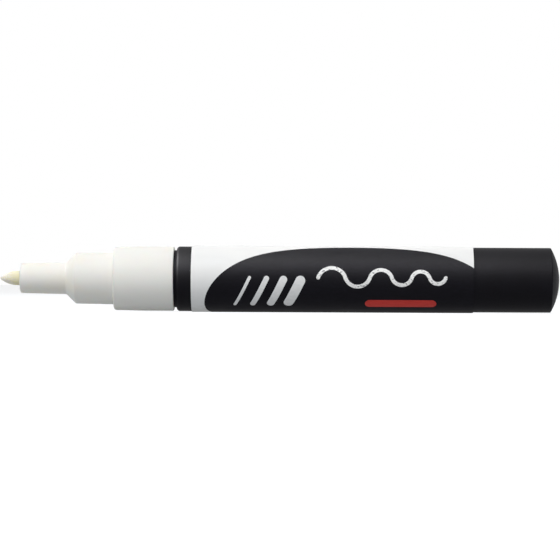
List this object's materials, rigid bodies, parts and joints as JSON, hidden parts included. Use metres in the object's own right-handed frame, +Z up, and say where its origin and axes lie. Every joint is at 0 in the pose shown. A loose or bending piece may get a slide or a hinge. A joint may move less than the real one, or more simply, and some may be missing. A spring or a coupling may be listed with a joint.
{
  "type": "liquid chalk marker",
  "caption": "Round valve-action liquid chalk marker, cap off: bullet felt nib in a stepped white nose, black barrel with a wrapped label and domed tail, sprung valve and mixing ball inside.",
  "frame": {"origin": "on the pen's axis, halfway between the nib's tip and the tail's apex", "axes": "+X along the pen's axis towards the closed tail, with the nib towards -X; +Z up; +Y makes it right-handed"},
  "size_m": [0.1262, 0.015, 0.015],
  "materials": {
    "nib_felt": "pressed felt",
    "nose_plastic": "satin moulded",
    "seal_rubber": "matte",
    "valve_plastic": "natural moulded",
    "spring_steel": "drawn wire",
    "barrel_plastic": "satin moulded",
    "label_film": "satin printed film",
    "ball_steel": "ground"
  },
  "bodies": {
    "barrel": {"barrel": "barrel_plastic", "label_sleeve": "label_film", "nose_section": "nose_plastic", "valve_seat": "seal_rubber", "valve_housing": "valve_plastic", "valve_spring": "spring_steel"},
    "nib": {"nib": "nib_felt"},
    "valve_stem": {"valve_stem": "valve_plastic"},
    "mixing_ball": {"mixing_ball": "ball_steel"}
  },
  "joints": [
    {"name": "nib_press", "type": "slide", "parent": "barrel", "child": "nib", "axis": [1, 0, 0], "range_m": [0, 0.0018], "stiffness_N_per_m": 500, "springref_m": -0.003, "deforming": ["valve_spring"]},
    {"name": "valve_open", "type": "slide", "parent": "barrel", "child": "valve_stem", "axis": [1, 0, 0], "range_m": [0, 0.0018], "deforming": ["valve_spring"]},
    {"name": "ball_rattle", "type": "slide", "parent": "barrel", "child": "mixing_ball", "axis": [1, 0, 0], "range_m": [-0.0353, 0.0353]}
  ],
  "couplings": [
    {"joint": "valve_open", "follows": "nib_press", "ratio": 1}
  ]
}
